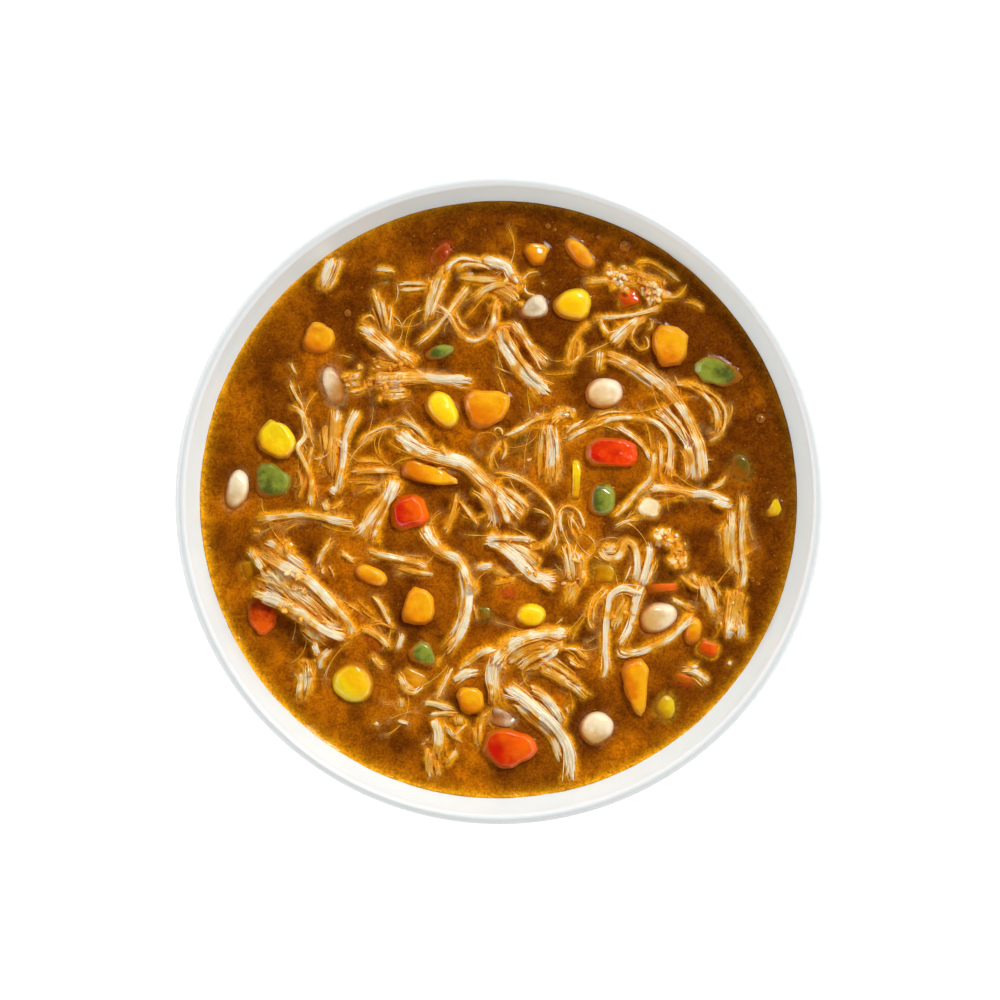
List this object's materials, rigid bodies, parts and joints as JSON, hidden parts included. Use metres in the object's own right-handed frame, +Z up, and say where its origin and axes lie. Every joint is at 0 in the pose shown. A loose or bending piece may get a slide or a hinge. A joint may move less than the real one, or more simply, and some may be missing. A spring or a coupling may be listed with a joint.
{
  "type": "bowl of soup",
  "caption": "Round white glazed bowl on a foot ring, filled near its rim with amber broth in which shredded chicken, corn, beans, carrot and pepper pieces lie.",
  "frame": {"origin": "middle of the foot ring's underside, where the bowl stands", "axes": "+Z up out of the bowl, +X to the right and +Y away from someone who looks at it as in the picture"},
  "size_m": [0.15, 0.15, 0.058],
  "materials": {
    "glazed_white": "glossy white glaze on stoneware",
    "broth": "wet, glossy amber broth",
    "corn": "moist and smooth",
    "bean": "moist and smooth",
    "carrot": "moist, softly cooked",
    "red_pepper": "moist, glossy skin",
    "green_pepper": "moist, glossy skin",
    "onion": "moist, translucent",
    "chicken": "moist, fibrous"
  },
  "bodies": {
    "root": {"bowl": "glazed_white", "broth": "broth", "corn_1": "corn", "corn_2": "corn", "corn_3": "corn", "corn_4": "corn", "corn_5": "corn", "corn_6": "corn", "corn_7": "corn", "bean_1": "bean", "bean_2": "bean", "bean_3": "bean", "bean_4": "bean", "bean_5": "bean", "onion_1": "onion", "carrot_1": "carrot", "carrot_2": "carrot", "carrot_3": "carrot", "carrot_4": "carrot", "carrot_5": "carrot", "carrot_6": "carrot", "carrot_7": "carrot", "carrot_8": "carrot", "carrot_9": "carrot", "carrot_10": "carrot", "carrot_11": "carrot", "pepper_red_1": "red_pepper", "pepper_red_2": "red_pepper", "pepper_red_3": "red_pepper", "tomato_1": "red_pepper", "tomato_2": "red_pepper", "pepper_green_1": "green_pepper", "pepper_green_2": "green_pepper", "pepper_green_3": "green_pepper", "pepper_green_4": "green_pepper", "pepper_green_5": "green_pepper", "pepper_green_6": "green_pepper", "chicken_cube": "chicken", "chicken_01": "chicken", "chicken_02": "chicken", "chicken_03": "chicken", "chicken_04": "chicken", "chicken_05": "chicken", "chicken_06": "chicken", "chicken_07": "chicken", "chicken_08": "chicken", "chicken_09": "chicken", "chicken_10": "chicken", "chicken_11": "chicken", "chicken_12": "chicken", "chicken_13": "chicken", "chicken_14": "chicken", "chicken_15": "chicken", "chicken_16": "chicken", "chicken_17": "chicken", "chicken_18": "chicken", "chicken_19": "chicken", "chicken_20": "chicken", "chicken_21": "chicken", "chicken_22": "chicken"}
  },
  "joints": []
}
